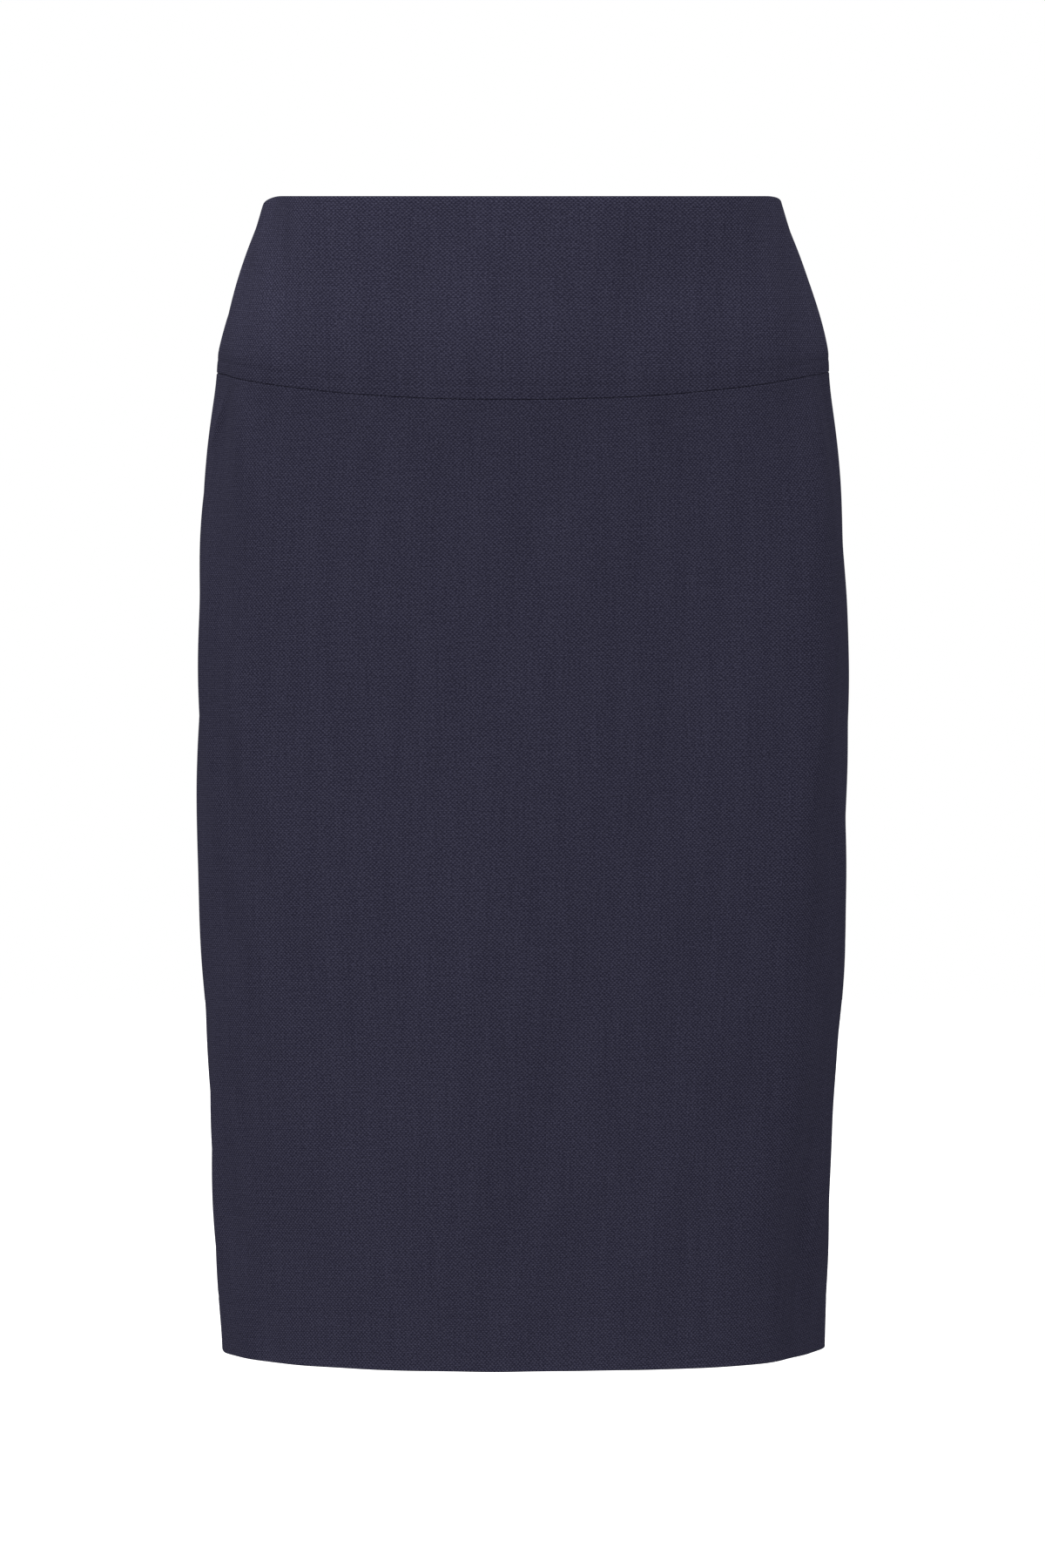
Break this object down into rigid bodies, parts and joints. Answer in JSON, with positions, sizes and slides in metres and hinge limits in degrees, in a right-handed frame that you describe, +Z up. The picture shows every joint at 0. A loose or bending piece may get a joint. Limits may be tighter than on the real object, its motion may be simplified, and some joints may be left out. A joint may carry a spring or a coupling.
{
  "type": "pencil skirt",
  "caption": "Knee-length pencil skirt in pin-dot suiting, filled out as when worn, with a deep shaped yoke, a centre back concealed zip and a back vent. Open at waist and hem.",
  "frame": {"origin": "middle of the waist opening, level with the front of the waist edge, where the wearer holds the skirt up", "axes": "+Z up, out of the waist opening; -Y is the front; +X is the wearer's left; the hem is the low end at about -0.62"},
  "size_m": [0.349, 0.2358, 0.62],
  "materials": {
    "suiting": "fine worsted wool suiting, dark navy with a lighter pin-dot weave, matt",
    "zip_tape": "woven polyester tape, dark navy, matt",
    "zip_enamel": "zinc alloy with dark navy enamel, satin"
  },
  "bodies": {
    "skirt": {"yoke_front": "suiting", "yoke_back_left": "suiting", "yoke_back_right": "suiting", "skirt_front": "suiting", "skirt_back_left": "suiting", "skirt_back_right": "suiting", "zip_tape_left": "zip_tape", "zip_tape_right": "zip_tape", "zip_slider": "zip_enamel"},
    "pull_tab": {"zip_pull_tab": "zip_enamel"}
  },
  "joints": [
    {"name": "pull_tab_swing", "type": "hinge", "parent": "skirt", "child": "pull_tab", "pos_m": [0, 0.09234, -0.01319], "axis": [1, 0, 0], "range_deg": [0, 150]}
  ]
}
